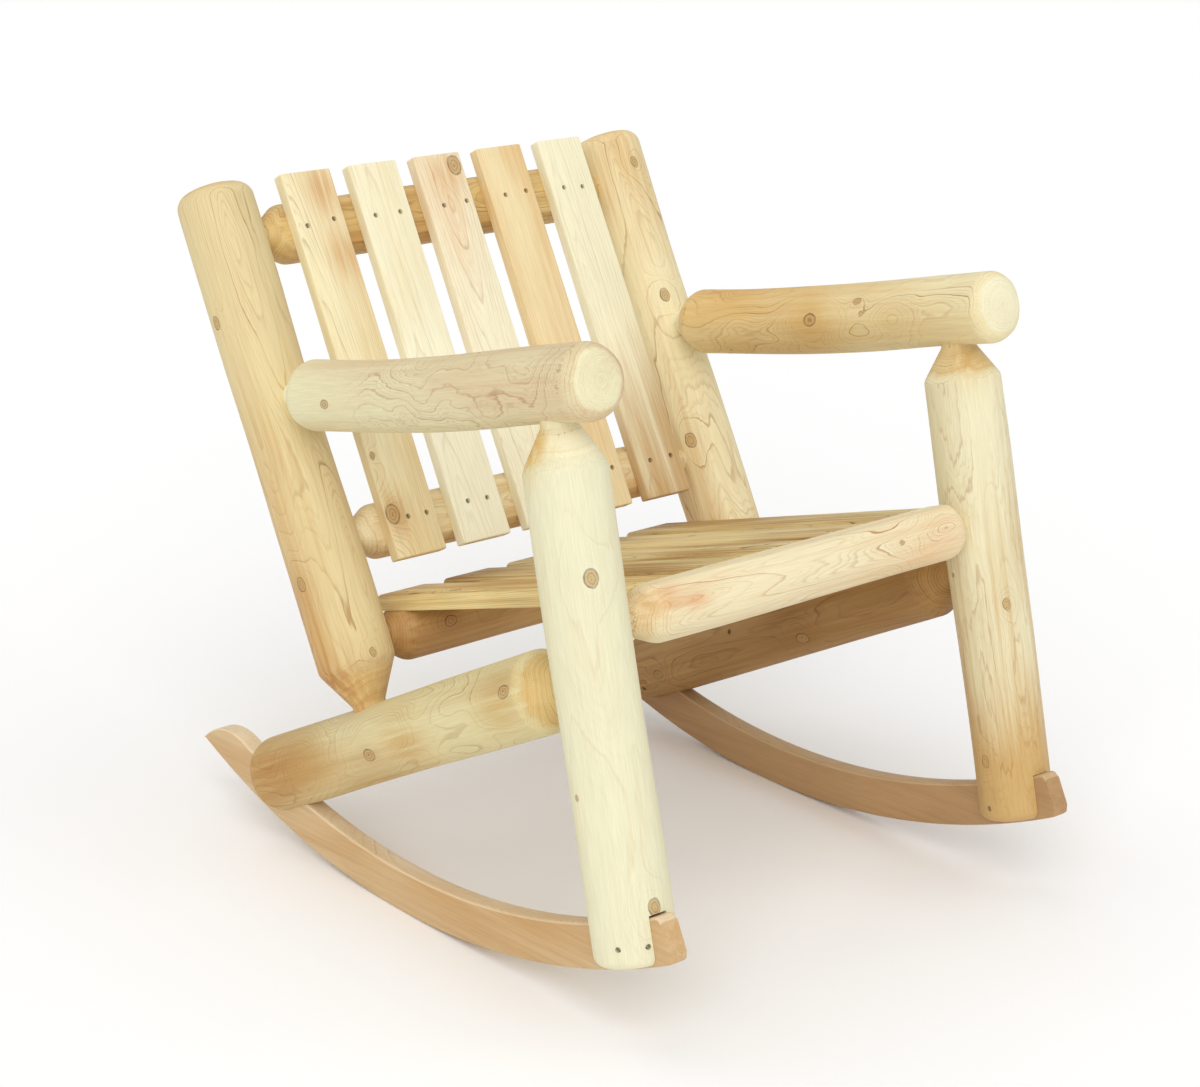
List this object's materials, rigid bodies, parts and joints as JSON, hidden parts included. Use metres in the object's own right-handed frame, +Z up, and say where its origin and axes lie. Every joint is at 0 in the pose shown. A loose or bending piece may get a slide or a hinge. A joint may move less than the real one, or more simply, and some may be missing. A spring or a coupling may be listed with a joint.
{
  "type": "log rocking chair",
  "caption": "Armed rocking chair of peeled round logs with a slatted seat and back, on two sawn bow rockers held in slots of the front posts and side logs.",
  "frame": {"origin": "centre of the chair's footprint on the floor, at rest on its rockers", "axes": "+X towards the sitter's left, +Y towards the back of the chair, +Z up; the chair faces -Y"},
  "size_m": [0.7764, 0.9752, 0.882],
  "materials": {
    "pale_log": "peeled and sanded, unfinished",
    "golden_log": "peeled and sanded, unfinished",
    "rail_log": "peeled and sanded, unfinished",
    "slat_wood": "planed, unfinished",
    "rocker_wood": "planed and sanded, unfinished",
    "screw_metal": "coated"
  },
  "bodies": {
    "root": {"rocker_left": "rocker_wood", "rocker_right": "rocker_wood", "front_post_left": "pale_log", "front_post_right": "pale_log", "rear_post_left": "golden_log", "rear_post_right": "golden_log", "side_log_left": "pale_log", "side_log_right": "pale_log", "arm_left": "golden_log", "arm_right": "pale_log", "top_back_rail": "rail_log", "lower_back_rail": "rail_log", "rear_seat_rail": "rail_log", "front_seat_log": "pale_log", "back_slat_1": "slat_wood", "back_slat_2": "slat_wood", "back_slat_3": "slat_wood", "back_slat_4": "slat_wood", "back_slat_5": "slat_wood", "seat_slat_1": "slat_wood", "seat_slat_2": "slat_wood", "seat_slat_3": "slat_wood", "seat_slat_4": "slat_wood", "seat_slat_5": "slat_wood"}
  },
  "joints": []
}
